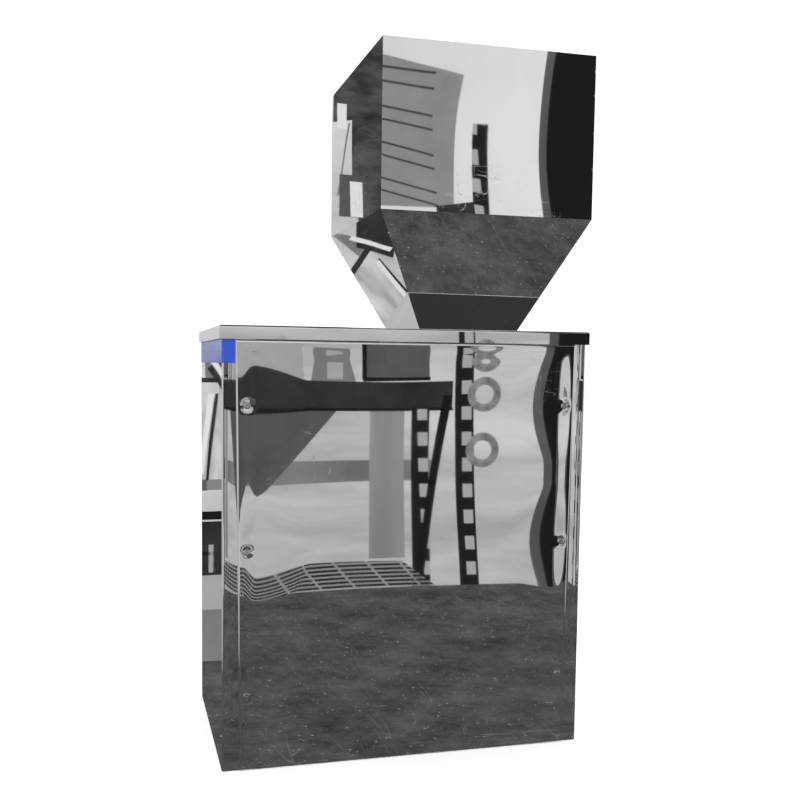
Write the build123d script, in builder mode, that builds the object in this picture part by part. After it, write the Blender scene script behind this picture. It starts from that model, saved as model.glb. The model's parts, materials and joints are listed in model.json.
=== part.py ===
from build123d import *
import os
from math import cos, pi, radians, sin

os.makedirs("parts", exist_ok=True)

# Frame: +Z up, origin at the centre of the cabinet's underside. The screwed service cover faces -Y,
# the working front with the sealing bay and the controls faces +Y. Sizes in millimetres.

# Cabinet sheet metal
cabinet_width = 460.0
cabinet_depth = 280.0
cover_top = 531.0  # upper face of the top cover
sheet = 1.5
bend_radius = 2.5  # outside radius of a fold
flange_width = 40.0  # side sheet turned in at the front and the rear
lip_height = 16.0  # turned-down edge of the top cover
lip_overhang = 3.2  # top cover proud of the cabinet on each side
tray_lip = 15.0  # turned-up edge of the base tray
tray_floor = 2.0

# Screwed covers
cover_sheet = 1.2
cover_proud = 3.0  # outer face of a cover over the flange that it sits on
cover_gap_top = 15.6  # flange left showing beside the rear cover, at its top
cover_gap_bottom = 20.8  # and at its bottom
cover_gap_lip = 0.5
cover_foot = 1.0
screw_inset = 29.0  # screw line from the cabinet's side
screw_first = 91.5  # height of the lowest screws
screw_pitch = 173.0
screw_radius = 2.0
screw_length = 12.0
head_radius = 4.0
head_height = 2.4
recess_width = 1.1
recess_length = 4.6
recess_depth = 1.3
dimple_radius = 7.5
nut_radius = 3.0
nut_length = 9.0
running_clearance = 0.05
press_clearance = 0.02
hole_clearance = 0.2
head_round = 1.32
cover_round = 2.4  # outside radius of a cover's folded edge

# Hopper
hopper_width = 275.0
hopper_depth = 279.0
hopper_top = 873.0
hopper_bend = 672.0  # height where the box meets the funnel
hopper_sheet = 1.2
hopper_hem = 12.0
foot_width = 132.0
foot_depth = 148.0
throat_length = 19.0  # straight foot below the top cover's upper face
hopper_x = 95.5
throat_clearance = 0.4
collar_flange = 20.0
collar_thickness = 3.0
collar_leg = 2.0

# Walls inside
divider_x = -41.0  # right face of the wall between the controls and the bay
divider_fold = 20.0
plate_front = 24.0  # front face of the mounting plate
plate_thickness = 4.0
plate_top = 465.0

# Dosing
guide_height = 9.0
guide_width = 150.0
guide_length = 170.0
gate_thickness = 2.0
gate_width = 131.0
gate_front = 70.0
gate_rear = -54.0
gate_play = 0.5
gate_drop = 3.5
gate_ledge = 6.0
gate_tab_drop = 20.0
gate_tab_width = 31.0
outlet_width = 40.0
outlet_rear = -50.0
outlet_front = 10.0
feed_width = 49.0
feed_rear = -70.0
feed_front = 58.0
feed_floor = 470.0
feed_height = 28.0
spring_thickness = 1.5
magnet_top = 440.0
magnet_height = 40.0
bucket_width = 51.0
bucket_rear = 50.0
bucket_front = 108.0
bucket_floor = 400.0
bucket_top = 455.0
flap_gap = 2.0
flap_pin_radius = 2.0
flap_knuckle_radius = 4.0

# Forming
form_y = 80.0
form_radius = 20.0
form_sheet = 1.2
rim_share = 1.3  # width of the funnel's rim over its sheet
form_bottom = 200.0
funnel_bottom = 330.0
funnel_top = 390.0
funnel_radius = 48.0
film_gap = 0.8
collar_base = 288.0
collar_bend = 300.0
collar_rim = 319.0
collar_rim_radius = 40.0
collar_sheet = 1.5
web_slot = 132.0  # opening in the mounting plate for the film
web_slot_height = 18.0
bracket_bottom = 291.0
bracket_thickness = 4.0

# Film supply
mandrel_y = -70.0
mandrel_z = 110.0
mandrel_radius = 6.0
bracket_margin = 12.9  # outer face of a film bracket beyond the pull gears
bracket_plate = 4.0
bracket_rise = 20.0  # bracket above the mandrel axis
bracket_drop = 50.0  # and below it
shaft_end = 9.0  # mandrel shaft beyond each bracket
cone_inset = 14.0
cone_disc = 4.0
cone_length = 22.0
cone_radius = 40.0
roller_radius = 7.0
roller_pin_radius = 3.0
roller_margin = 15.0
roller_z = 345.0
rear_roller_y = 5.0
front_roller_y = 37.0

# Film pull
wheel_radius = 22.0
wheel_width = 16.0
wheel_z = 230.0
shaft_radius = 4.0
shaft_play = 2.0
pull_teeth = 47
gear_width = 8.0
gear_gap = 6.0  # gear behind the mounting plate
gear_windows = 5
window_circle = 26.0
window_radius = 8.0
hub_radius = 9.0
hub_length = 5.0
groove_pitch = 4.0
groove_width = 1.5
groove_depth = 1.0
motor_radius = 18.0
motor_length = 62.0

# Teeth, as shares of the module or of the pitch
addendum = 0.8
dedendum = 1.1
tooth_share = 0.42
root_share = 0.75
tip_share = 0.32
rack_root_share = 0.32
rack_tip_share = 0.12

# Sealing
sealer_width = 10.0
sealer_bottom = 215.0
sealer_top = 285.0
sealer_depth = 14.0
sealer_gap = 3.5  # open gap between the film on the tube and the bar
arm_bottom = 262.0
arm_top = 280.0
arm_thickness = 6.0
arm_reach = 65.0  # arm's side bar from the tube's axis
jaw_z = 165.0
jaw_height = 24.0
jaw_width = 144.0
jaw_depth = 20.0
face_depth = 6.0
face_width = 90.0
face_height = 18.0
rib_pitch = 3.5
rib_gap = 1.2
rib_depth = 0.8
jaw_open = 14.0  # each face from the middle plane when open
jaw_meet = 0.25  # each face from the middle plane when shut
rod_radius = 5.0
rod_spread = 124.0
rod_front = 128.0
end_bar_depth = 8.0
blade_thickness = 1.2
blade_slot = 2.0
blade_width = 81.0
blade_depth = 16.0
blade_pocket = 9.0  # slot in the rear jaw that the blade enters
blade_channel = 24.0  # slot in the front jaw that the blade rests in
blade_setback = 2.0
pinion_teeth = 20
pinion_module = 1.0
pinion_z = 130.0
pinion_left = 10.0
pinion_width = 8.0
pinion_shaft = 3.0
pinion_hub = 7.0
rack_length = 56.0
rack_back = 6.0
lug_width = 20.0

# Door, chute and controls
door_left = -36.0
door_hinge_gap = 6.0  # edge of the door from the hinge axis
door_bottom = 120.0
door_top = 510.0
door_thickness = 4.0
door_gap = 1.0
door_corner = 8.0
hinge_inset = 27.0  # hinge axis from the cabinet's right side
hinge_rise = 7.0  # and in front of its flange
leaf_width = 19.0
knuckle_leaf = 24.0
leaf_thickness = 3.0
hinge_radius = 4.0
hinge_pin_radius = 1.5
hinge_heights = (180.0, 450.0)
knuckle_length = 20.0
knuckle_gap = 0.2
chute_left = 36.0
chute_right = 155.0
chute_high = 100.0
chute_low = 30.0
chute_front = 152.0
chute_wall = 18.0
panel_x = -128.0
display_z = 440.0
display_width = 90.0
display_height = 50.0
button_z = 350.0
button_spread = 60.0
button_radius = 11.0
stop_z = 270.0
mushroom_radius = 20.0
switch_z = 190.0
film_strip_bottom = 487.0
film_strip_thickness = 0.2
film_side_gap = 0.4
film_tuck = 4.0  # film under the lip of the top cover
control_seam = 3.0
control_foot = 5.0
stop_stem = 8.0
stop_height = 12.0
switch_disc = 15.0
switch_grip = 4.0
stem_depth = 14.0
display_frame = 8.0
display_proud = 4.0
display_body = 3.2  # body inside the frame's outline
display_depth = 22.0

# Worked out from the sizes above
half_width = cabinet_width / 2
half_depth = cabinet_depth / 2
side_height = cover_top - sheet
inner_x = half_width - sheet
inner_y = half_depth - sheet
lip_bottom = cover_top - lip_height
screw_xs = (-half_width + screw_inset, half_width - screw_inset)
screw_zs = [screw_first + screw_pitch * row for row in range(3)]
screw_points = [(x, z) for x in screw_xs for z in screw_zs]
cover_face = half_depth + cover_proud
throat_bottom = cover_top - throat_length
plate_rear = plate_front - plate_thickness
divider_left = divider_x - sheet
wheel_offset = form_radius + film_gap + wheel_radius
bracket_half = 2 * wheel_offset + bracket_margin
bracket_left = hopper_x - bracket_half
bracket_right = hopper_x + bracket_half
hinge_x = half_width - hinge_inset
hinge_y = half_depth + hinge_rise
door_right = hinge_x - door_hinge_gap


def block(x, y, z, mode=Mode.ADD):
    """Box between the low and high values given for each axis."""
    with Locations(((x[0] + x[1]) / 2, (y[0] + y[1]) / 2, (z[0] + z[1]) / 2)):
        Box(x[1] - x[0], y[1] - y[0], z[1] - z[0], mode=mode)


def rod(start, direction, radius, length, mode=Mode.ADD):
    """Cylinder that begins at a point and runs along a direction."""
    with Locations(Plane(origin=start, z_dir=direction)):
        Cylinder(radius, length, align=(Align.CENTER, Align.CENTER, Align.MIN), mode=mode)


def around(centre, half):
    """Low and high value of a span about its middle."""
    return (centre - half, centre + half)


def save(piece, name):
    """Label a finished piece and write its STEP file."""
    piece.part.label = name
    export_step(piece.part, f"parts/{name}.step")


def side_shell(sign):
    """Side sheet folded in at the front and the rear."""
    with BuildPart() as shell:
        with BuildSketch():
            with Locations((sign * (half_width - flange_width / 2), 0)):
                Rectangle(flange_width, cabinet_depth)
            outer = vertices().filter_by(lambda v: abs(abs(v.X) - half_width) < sheet)
            fillet(outer, bend_radius)
        extrude(amount=side_height)
        with BuildSketch():
            with Locations((sign * (inner_x - flange_width / 2), 0)):
                Rectangle(flange_width, 2 * inner_y)
            inner = vertices().filter_by(lambda v: abs(abs(v.X) - inner_x) < sheet)
            fillet(inner, bend_radius - sheet)
        extrude(amount=side_height, mode=Mode.SUBTRACT)
        for z in screw_zs:
            hole_x = sign * (half_width - screw_inset)
            rod((hole_x, -half_depth, z), (0, 1, 0), nut_radius, sheet, Mode.SUBTRACT)
    return shell


def cover_tray(corners, seat, outward):
    """Flat cover with its edges folded back on to the flanges behind it."""
    with BuildPart() as tray:
        with BuildSketch(Plane.XZ.offset(-seat)):
            with BuildLine():
                Polyline(*corners, close=True)
            make_face()
        extrude(amount=-outward * cover_proud)
        outer_face = faces().sort_by(Axis.Y)[-1 if outward > 0 else 0]
        fillet(outer_face.edges(), cover_round)
        with BuildSketch(Plane.XZ.offset(-seat)):
            with BuildLine():
                Polyline(*corners, close=True)
            make_face()
            offset(amount=-cover_sheet, kind=Kind.INTERSECTION)
        extrude(amount=-outward * (cover_proud - cover_sheet), mode=Mode.SUBTRACT)
    return tray


def toothed_outline(teeth, module, thickness_share, phase):
    """Corner points of a spur gear with straight-sided teeth, the first one at the phase angle."""
    pitch = module * teeth / 2
    step = 2 * pi / teeth
    points = []
    for tooth in range(teeth):
        middle = phase + tooth * step
        root_half = step * thickness_share * root_share
        tip_half = step * thickness_share * tip_share
        for radius, angle in (
            (pitch - dedendum * module, middle - root_half),
            (pitch + addendum * module, middle - tip_half),
            (pitch + addendum * module, middle + tip_half),
            (pitch - dedendum * module, middle + root_half),
        ):
            points.append((radius * cos(angle), radius * sin(angle)))
    return points


def rack_outline(length, centre, module, back, direction):
    """Side view of a rack: flat back, straight teeth, a gap between teeth at the centre."""
    pitch = pi * module
    count = int(length / pitch)
    middles = [(tooth + 0.5) * pitch + centre for tooth in range(-count, count)]
    points = [(-length / 2, back), (-length / 2, dedendum * module)]
    for middle in middles:
        if abs(middle) > length / 2 - pitch:
            continue
        points += [
            (middle - rack_root_share * pitch, dedendum * module),
            (middle - rack_tip_share * pitch, -addendum * module),
            (middle + rack_tip_share * pitch, -addendum * module),
            (middle + rack_root_share * pitch, dedendum * module),
        ]
    points += [(length / 2, dedendum * module), (length / 2, back)]
    return [(y, direction * z) for y, z in points]


# ---- Cabinet ----

left_side = side_shell(-1)
save(left_side, "left_side")

inlet_y = -90.0
inlet_z = 60.0
inlet_width = 27.0
inlet_height = 20.0
inlet_depth = 25.0
inlet_rim = 3.0
with BuildPart() as right_side:
    add(side_shell(1).part)
    block((inner_x - sheet, half_width), around(inlet_y, inlet_width / 2 + hole_clearance),
          around(inlet_z, inlet_height / 2 + hole_clearance), Mode.SUBTRACT)
save(right_side, "right_side")

with BuildPart() as base_tray:
    block((-inner_x, inner_x), (-inner_y, inner_y), (0, tray_lip))
    vertical = edges().filter_by(Axis.Z)
    fillet(vertical, bend_radius - sheet)
    block((-inner_x + sheet, inner_x - sheet), (-inner_y + sheet, inner_y - sheet),
          (tray_floor, tray_lip), Mode.SUBTRACT)
save(base_tray, "base_tray")

with BuildPart() as top_cover:
    lip_x = half_width + lip_overhang
    lip_y = half_depth + lip_overhang
    block((-lip_x, lip_x), (-lip_y, lip_y), (lip_bottom, cover_top))
    fillet(edges().group_by(Axis.Z)[-1], bend_radius)
    block((-lip_x + sheet, lip_x - sheet), (-lip_y + sheet, lip_y - sheet),
          (lip_bottom, cover_top - sheet), Mode.SUBTRACT)
    block(around(hopper_x, foot_width / 2 + throat_clearance), around(0, foot_depth / 2 + throat_clearance),
          (cover_top - sheet, cover_top), Mode.SUBTRACT)
save(top_cover, "top_cover")

cover_bottom_half = half_width - cover_gap_bottom
cover_top_half = half_width - cover_gap_top
rear_top = lip_bottom - cover_gap_lip
rear_corners = [(-cover_bottom_half, cover_foot), (cover_bottom_half, cover_foot),
                (cover_top_half, rear_top), (-cover_top_half, rear_top)]
dimple_depth = cover_proud - cover_sheet
with BuildPart() as rear_cover:
    add(cover_tray(rear_corners, -half_depth, -1).part)
    for x, z in screw_points:
        rod((x, -half_depth, z), (0, -1, 0), dimple_radius, dimple_depth)
        with Locations(Plane(origin=(x, -cover_face, z), z_dir=(0, 1, 0))):
            Cone(dimple_radius, dimple_radius - dimple_depth, dimple_depth,
                 align=(Align.CENTER, Align.CENTER, Align.MIN), mode=Mode.SUBTRACT)
        rod((x, -half_depth, z), (0, -1, 0), screw_radius + hole_clearance, cover_proud, Mode.SUBTRACT)
save(rear_cover, "rear_cover")

with BuildPart() as rear_cover_screws:
    for x, z in screw_points:
        seat = -half_depth - cover_sheet
        rod((x, seat, z), (0, -1, 0), head_radius, head_height)
    head_edges = edges().group_by(Axis.Y)[0]
    fillet(head_edges, head_round)
    for x, z in screw_points:
        rod((x, seat, z), (0, 1, 0), screw_radius, screw_length)
        face = seat - head_height
        block(around(x, recess_length / 2), (face, face + recess_depth), around(z, recess_width / 2),
              Mode.SUBTRACT)
        block(around(x, recess_width / 2), (face, face + recess_depth), around(z, recess_length / 2),
              Mode.SUBTRACT)
save(rear_cover_screws, "rear_cover_screws")

with BuildPart() as rear_cover_nuts:
    for x, z in screw_points:
        rod((x, -half_depth, z), (0, 1, 0), nut_radius, nut_length)
        rod((x, -inner_y, z), (0, 1, 0), nut_radius + 1, nut_length - sheet)
        rod((x, -half_depth, z), (0, 1, 0), screw_radius + running_clearance, nut_length, Mode.SUBTRACT)
save(rear_cover_nuts, "rear_cover_nuts")

with BuildPart() as divider_wall:
    block((divider_left, divider_x), (-inner_y, half_depth), (tray_floor, side_height))
    block((-inner_x, inner_x), around(-inner_y, sheet), (tray_floor, tray_lip), Mode.SUBTRACT)
    block((-inner_x, inner_x), (inner_y - sheet, half_depth), (tray_floor, tray_lip), Mode.SUBTRACT)
    block((divider_left - divider_fold, divider_left), (inner_y, half_depth), (tray_lip, lip_bottom))
    rod((divider_left, form_y, pinion_z), (1, 0, 0), pinion_shaft + 1, sheet, Mode.SUBTRACT)
save(divider_wall, "divider_wall")

pull_xs = (hopper_x - wheel_offset, hopper_x + wheel_offset)
with BuildPart() as mounting_plate:
    block((divider_x, inner_x - sheet), (plate_rear, plate_front), (tray_floor, plate_top))
    for x in pull_xs:
        rod((x, plate_rear, wheel_z), (0, 1, 0), shaft_radius + running_clearance, plate_thickness,
            Mode.SUBTRACT)
    block(around(hopper_x, web_slot / 2), (plate_rear, plate_front), around(roller_z, web_slot_height / 2),
          Mode.SUBTRACT)
    block((inner_x - sheet, inner_x), (plate_rear, plate_front), (tray_lip, plate_top))
save(mounting_plate, "mounting_plate")

control_right = divider_x - control_seam
control_left = -half_width + cover_gap_top
control_corners = [(control_left, control_foot), (control_right, control_foot),
                   (control_right, rear_top), (control_left, rear_top)]
button_xs = (panel_x - button_spread / 2, panel_x + button_spread / 2)
with BuildPart() as control_front:
    add(cover_tray(control_corners, half_depth, 1).part)
    block(around(panel_x, display_width / 2 - 3), (half_depth, cover_face),
          around(display_z, display_height / 2 - 3), Mode.SUBTRACT)
    for x in button_xs:
        rod((x, half_depth, button_z), (0, 1, 0), button_radius + running_clearance, cover_proud,
            Mode.SUBTRACT)
    rod((panel_x, half_depth, stop_z), (0, 1, 0), stop_stem + running_clearance, cover_proud, Mode.SUBTRACT)
    rod((panel_x, half_depth, switch_z), (0, 1, 0), shaft_radius + running_clearance, cover_proud,
        Mode.SUBTRACT)
save(control_front, "control_front")

with BuildPart() as protective_film:
    film_right = -half_width + cover_gap_top - film_side_gap
    film_top = lip_bottom + film_tuck
    with BuildSketch(Plane.XY.offset(film_strip_bottom)):
        with Locations((film_right, -half_depth - film_strip_thickness)):
            Rectangle(cover_gap_top - film_side_gap + film_strip_thickness, cabinet_depth,
                      align=(Align.MAX, Align.MIN))
        fillet(vertices().sort_by(lambda v: v.X + v.Y)[0], bend_radius + film_strip_thickness)
    extrude(amount=film_top - film_strip_bottom)
    with BuildSketch(Plane.XY.offset(film_strip_bottom)):
        with Locations((film_right, -half_depth)):
            Rectangle(cover_gap_top - film_side_gap, cabinet_depth, align=(Align.MAX, Align.MIN))
        fillet(vertices().sort_by(lambda v: v.X + v.Y)[0], bend_radius)
    extrude(amount=film_top - film_strip_bottom, mode=Mode.SUBTRACT)
save(protective_film, "protective_film")

# ---- Hopper and dosing ----


def hopper_body(skin):
    """Box, funnel and straight foot, smaller all round by the given skin."""
    with BuildPart() as body:
        with BuildSketch(Plane.XY.offset(hopper_bend)):
            with Locations((hopper_x, 0)):
                Rectangle(hopper_width - 2 * skin, hopper_depth - 2 * skin)
        extrude(amount=hopper_top - hopper_bend)
        with BuildSketch(Plane.XY.offset(hopper_bend)):
            with Locations((hopper_x, 0)):
                Rectangle(hopper_width - 2 * skin, hopper_depth - 2 * skin)
        with BuildSketch(Plane.XY.offset(cover_top)):
            with Locations((hopper_x, 0)):
                Rectangle(foot_width - 2 * skin, foot_depth - 2 * skin)
        loft()
        with BuildSketch(Plane.XY.offset(throat_bottom)):
            with Locations((hopper_x, 0)):
                Rectangle(foot_width - 2 * skin, foot_depth - 2 * skin)
        extrude(amount=throat_length)
    return body


hem_skin = 2 * hopper_sheet
with BuildPart() as hopper:
    add(hopper_body(0).part)
    add(hopper_body(hopper_sheet).part, mode=Mode.SUBTRACT)
    hem = (hopper_top - hopper_hem, hopper_top)
    block(around(hopper_x, hopper_width / 2), around(0, hopper_depth / 2), hem)
    block(around(hopper_x, hopper_width / 2 - hem_skin), around(0, hopper_depth / 2 - hem_skin), hem,
          Mode.SUBTRACT)
save(hopper, "hopper")

with BuildPart() as hopper_collar:
    inner_half_x = foot_width / 2 + throat_clearance
    inner_half_y = foot_depth / 2 + throat_clearance
    block(around(hopper_x, inner_half_x + collar_flange), around(0, inner_half_y + collar_flange),
          (side_height - collar_thickness, side_height))
    block(around(hopper_x, inner_half_x + collar_leg), around(0, inner_half_y + collar_leg),
          (throat_bottom, side_height))
    block(around(hopper_x, inner_half_x), around(0, inner_half_y), (throat_bottom, side_height),
          Mode.SUBTRACT)
save(hopper_collar, "hopper_collar")

guide_bottom = throat_bottom - guide_height
gate_top = throat_bottom - gate_drop
gate_low = gate_top - gate_thickness
with BuildPart() as gate_guide:
    block(around(hopper_x, guide_width / 2), around(0, guide_length / 2), (guide_bottom, throat_bottom))
    block(around(hopper_x, gate_width / 2 + gate_play), around(0, guide_length / 2),
          (gate_low - gate_play, gate_top + gate_play), Mode.SUBTRACT)
    block(around(hopper_x, gate_width / 2 - gate_ledge), around(0, guide_length / 2),
          (guide_bottom, gate_low), Mode.SUBTRACT)
    block(around(hopper_x, outlet_width / 2), (outlet_rear, outlet_front),
          (guide_bottom, throat_bottom), Mode.SUBTRACT)
save(gate_guide, "gate_guide")

with BuildPart() as slide_gate:
    block(around(hopper_x, gate_width / 2), (gate_rear, gate_front), (gate_low, gate_top))
    block(around(hopper_x, gate_tab_width / 2), (gate_front, gate_front + gate_thickness),
          (gate_top - gate_tab_drop, gate_top))
    tab_corners = edges().filter_by(Axis.Y).group_by(Axis.Z)[0]
    fillet(tab_corners, 5.0)
save(slide_gate, "slide_gate")

magnet_half = 30.0
magnet_rear = -60.0
magnet_front = -10.0
magnet_foot = 5.0
with BuildPart() as feeder_magnet:
    block(around(hopper_x, magnet_half), (magnet_rear, magnet_front),
          (magnet_top - magnet_height, magnet_top))
    fillet(edges().filter_by(Axis.Z), 5.0)
    block(around(hopper_x, magnet_half), (magnet_rear, plate_rear),
          (magnet_top - magnet_height - magnet_foot, magnet_top - magnet_height))
save(feeder_magnet, "feeder_magnet")

with BuildPart() as feeder_springs:
    for y in (magnet_rear + 5, magnet_front - 5):
        block(around(hopper_x, feed_width / 2 - 4), around(y, spring_thickness / 2), (magnet_top, feed_floor))
save(feeder_springs, "feeder_springs")

with BuildPart() as vibrating_tray:
    block(around(hopper_x, feed_width / 2), (feed_rear, feed_front), (feed_floor, feed_floor + feed_height))
    block(around(hopper_x, feed_width / 2 - sheet), (feed_rear + sheet, feed_front),
          (feed_floor + sheet, feed_floor + feed_height), Mode.SUBTRACT)
save(vibrating_tray, "vibrating_tray")

cell_half = 6.0
cell_z = 436.0
with BuildPart() as load_cell:
    block(around(hopper_x, cell_half), (plate_front, bucket_rear), around(cell_z, cell_half))
    for y in (plate_front + 10, bucket_rear - 8):
        rod((hopper_x - cell_half, y, cell_z), (1, 0, 0), 3.0, 2 * cell_half, Mode.SUBTRACT)
save(load_cell, "load_cell")

pin_y = bucket_rear - flap_knuckle_radius - 0.5
pin_z = bucket_floor + 2.0
lug_thickness = 3.0
knuckle_half = bucket_width / 2 - lug_thickness - 0.5
with BuildPart() as weigh_bucket:
    block(around(hopper_x, bucket_width / 2), (bucket_rear, bucket_front), (bucket_floor, bucket_top))
    block(around(hopper_x, bucket_width / 2 - cover_sheet),
          (bucket_rear + cover_sheet, bucket_front - cover_sheet),
          (bucket_floor, bucket_top), Mode.SUBTRACT)
    for side in (-1, 1):
        lug_x = hopper_x + side * (bucket_width / 2 - lug_thickness / 2)
        block(around(lug_x, lug_thickness / 2), (pin_y - 4, bucket_rear), around(pin_z, 4.0))
        rod((lug_x - lug_thickness / 2, pin_y, pin_z), (1, 0, 0), flap_pin_radius, lug_thickness,
            Mode.SUBTRACT)
save(weigh_bucket, "weigh_bucket")

with BuildPart() as flap_pin:
    rod((hopper_x - bucket_width / 2, pin_y, pin_z), (1, 0, 0), flap_pin_radius, bucket_width)
save(flap_pin, "flap_pin")

with BuildPart() as bucket_flap:
    flap_top = bucket_floor - flap_gap
    rod((hopper_x - knuckle_half, pin_y, pin_z), (1, 0, 0), flap_knuckle_radius, 2 * knuckle_half)
    block(around(hopper_x, knuckle_half), (pin_y - 2, pin_y + 2), (flap_top - sheet, pin_z))
    block(around(hopper_x, knuckle_half), (pin_y - 2, bucket_rear + 1), (flap_top - sheet, flap_top))
    block(around(hopper_x, bucket_width / 2 - 0.5), (bucket_rear + 1, bucket_front + 1),
          (flap_top - sheet, flap_top))
    rod((hopper_x - knuckle_half, pin_y, pin_z), (1, 0, 0), flap_pin_radius + running_clearance,
        2 * knuckle_half, Mode.SUBTRACT)
save(bucket_flap, "bucket_flap")

# ---- Forming ----

with BuildPart() as forming_tube:
    with BuildSketch(Plane.XZ):
        with BuildLine():
            Polyline((form_radius, form_bottom), (form_radius, funnel_bottom), (funnel_radius, funnel_top),
                     (funnel_radius - rim_share * form_sheet, funnel_top), (form_radius - form_sheet,
                                                                            funnel_bottom),
                     (form_radius - form_sheet, form_bottom), close=True)
        make_face()
    revolve(axis=Axis.Z)
forming_tube.part.position = (hopper_x, form_y, 0)
save(forming_tube, "forming_tube")

sleeve_inner = form_radius + film_gap
sleeve_outer = sleeve_inner + collar_sheet
with BuildPart() as forming_collar:
    with BuildSketch(Plane.XZ):
        with BuildLine():
            Line((sleeve_inner, collar_base), (sleeve_inner, collar_bend))
            SagittaArc((sleeve_inner, collar_bend), (collar_rim_radius, collar_rim), -4.0)
            Line((collar_rim_radius, collar_rim), (collar_rim_radius + collar_sheet, collar_rim))
            SagittaArc((collar_rim_radius + collar_sheet, collar_rim), (sleeve_outer, collar_bend), 4.0)
            Line((sleeve_outer, collar_bend), (sleeve_outer, collar_base))
            Line((sleeve_outer, collar_base), (sleeve_inner, collar_base))
        make_face()
    revolve(axis=Axis.Z)
    split(bisect_by=Plane(origin=(0, 0, collar_bend + 8), z_dir=(0, 0.5, 1)), keep=Keep.BOTTOM)
forming_collar.part.position = (hopper_x, form_y, 0)
save(forming_collar, "forming_collar")

ear_inner = 67.5
ear_thickness = 4.0
with BuildPart() as collar_bracket:
    bracket_level = (bracket_bottom, bracket_bottom + bracket_thickness)
    block(around(hopper_x, ear_inner + ear_thickness), (plate_front, form_y + sleeve_outer + 10),
          bracket_level)
    fillet(edges().filter_by(Axis.Z).group_by(Axis.Y)[-1], 12.0)
    rod((hopper_x, form_y, bracket_bottom), (0, 0, 1), sleeve_outer + running_clearance,
        bracket_thickness, Mode.SUBTRACT)
    for side in (-1, 1):
        ear_x = hopper_x + side * (ear_inner + ear_thickness / 2)
        block(around(ear_x, ear_thickness / 2), (plate_front, front_roller_y + 9),
              (bracket_bottom, roller_z + 9))
        rod((ear_x - ear_thickness / 2, front_roller_y, roller_z), (1, 0, 0),
            roller_pin_radius + running_clearance, ear_thickness, Mode.SUBTRACT)
save(collar_bracket, "collar_bracket")

# ---- Film supply ----


def guide_roller(y, half_body, half_pin):
    """Roller with its two pins."""
    with BuildPart() as roller:
        rod((hopper_x - half_body, y, roller_z), (1, 0, 0), roller_radius, 2 * half_body)
        chamfer(edges(), 0.8)
        rod((hopper_x - half_pin, y, roller_z), (1, 0, 0), roller_pin_radius, 2 * half_pin)
    return roller


front_guide_roller = guide_roller(front_roller_y, ear_inner - 0.5, ear_inner + ear_thickness + 1)
save(front_guide_roller, "front_guide_roller")

rear_guide_roller = guide_roller(rear_roller_y, bracket_half - bracket_plate - 0.5, bracket_half + 1)
save(rear_guide_roller, "rear_guide_roller")

with BuildPart() as film_brackets:
    for low in (bracket_left, bracket_right - bracket_plate):
        span = (low, low + bracket_plate)
        block(span, (mandrel_y - bracket_rise, plate_rear),
              (mandrel_z - bracket_drop, mandrel_z + bracket_rise))
        block(span, (rear_roller_y - roller_margin, plate_rear),
              (mandrel_z - bracket_drop, roller_z + roller_margin))
        rod((low, rear_roller_y, roller_z), (1, 0, 0), roller_pin_radius + running_clearance,
            bracket_plate, Mode.SUBTRACT)
        rod((low, mandrel_y, mandrel_z), (1, 0, 0), mandrel_radius + running_clearance,
            bracket_plate, Mode.SUBTRACT)
        block(span, around(mandrel_y, mandrel_radius + running_clearance),
              (mandrel_z, mandrel_z + bracket_rise), Mode.SUBTRACT)
save(film_brackets, "film_brackets")

with BuildPart() as mandrel_shaft:
    rod((bracket_left - shaft_end, mandrel_y, mandrel_z), (1, 0, 0), mandrel_radius,
        2 * (bracket_half + shaft_end))
    chamfer(edges(), 1.0)
save(mandrel_shaft, "mandrel_shaft")

with BuildPart() as mandrel_cones:
    for start, direction in ((bracket_left + cone_inset, 1), (bracket_right - cone_inset, -1)):
        rod((start, mandrel_y, mandrel_z), (direction, 0, 0), cone_radius, cone_disc)
        with Locations(Plane(origin=(start + cone_disc * direction, mandrel_y, mandrel_z),
        z_dir=(direction, 0, 0))):
            Cone(cone_radius * 0.75, cone_radius * 0.4, cone_length,
                 align=(Align.CENTER, Align.CENTER, Align.MIN))
        rod((start, mandrel_y, mandrel_z), (direction, 0, 0), mandrel_radius + running_clearance,
            cone_disc + cone_length, Mode.SUBTRACT)
save(mandrel_cones, "mandrel_cones")

# ---- Film pull ----

pull_module = 2 * wheel_offset / pull_teeth
gear_front = plate_rear - gear_gap
shaft_rear = gear_front - gear_width - shaft_play
shaft_front = form_y + wheel_width / 2 + shaft_play


def pull_gear(x, phase):
    """Gear with its shaft, driven side behind the mounting plate."""
    with BuildPart() as gear:
        with BuildSketch(Plane.XZ.offset(-gear_front)):
            with BuildLine():
                Polyline(*toothed_outline(pull_teeth, pull_module, tooth_share, phase), close=True)
            make_face()
        extrude(amount=gear_width)
        for window in range(gear_windows):
            turn = 2 * pi * window / gear_windows
            place = (window_circle * cos(turn), gear_front - gear_width, window_circle * sin(turn))
            rod(place, (0, 1, 0), window_radius, gear_width, Mode.SUBTRACT)
        rod((0, shaft_rear, 0), (0, 1, 0), shaft_radius, shaft_front - shaft_rear)
        rod((0, gear_front, 0), (0, 1, 0), hub_radius, hub_length)
    gear.part.position = (x, 0, wheel_z)
    return gear


left_pull_gear = pull_gear(pull_xs[0], 0)
save(left_pull_gear, "left_pull_gear")
right_pull_gear = pull_gear(pull_xs[1], pi + pi / pull_teeth)
save(right_pull_gear, "right_pull_gear")


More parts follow.
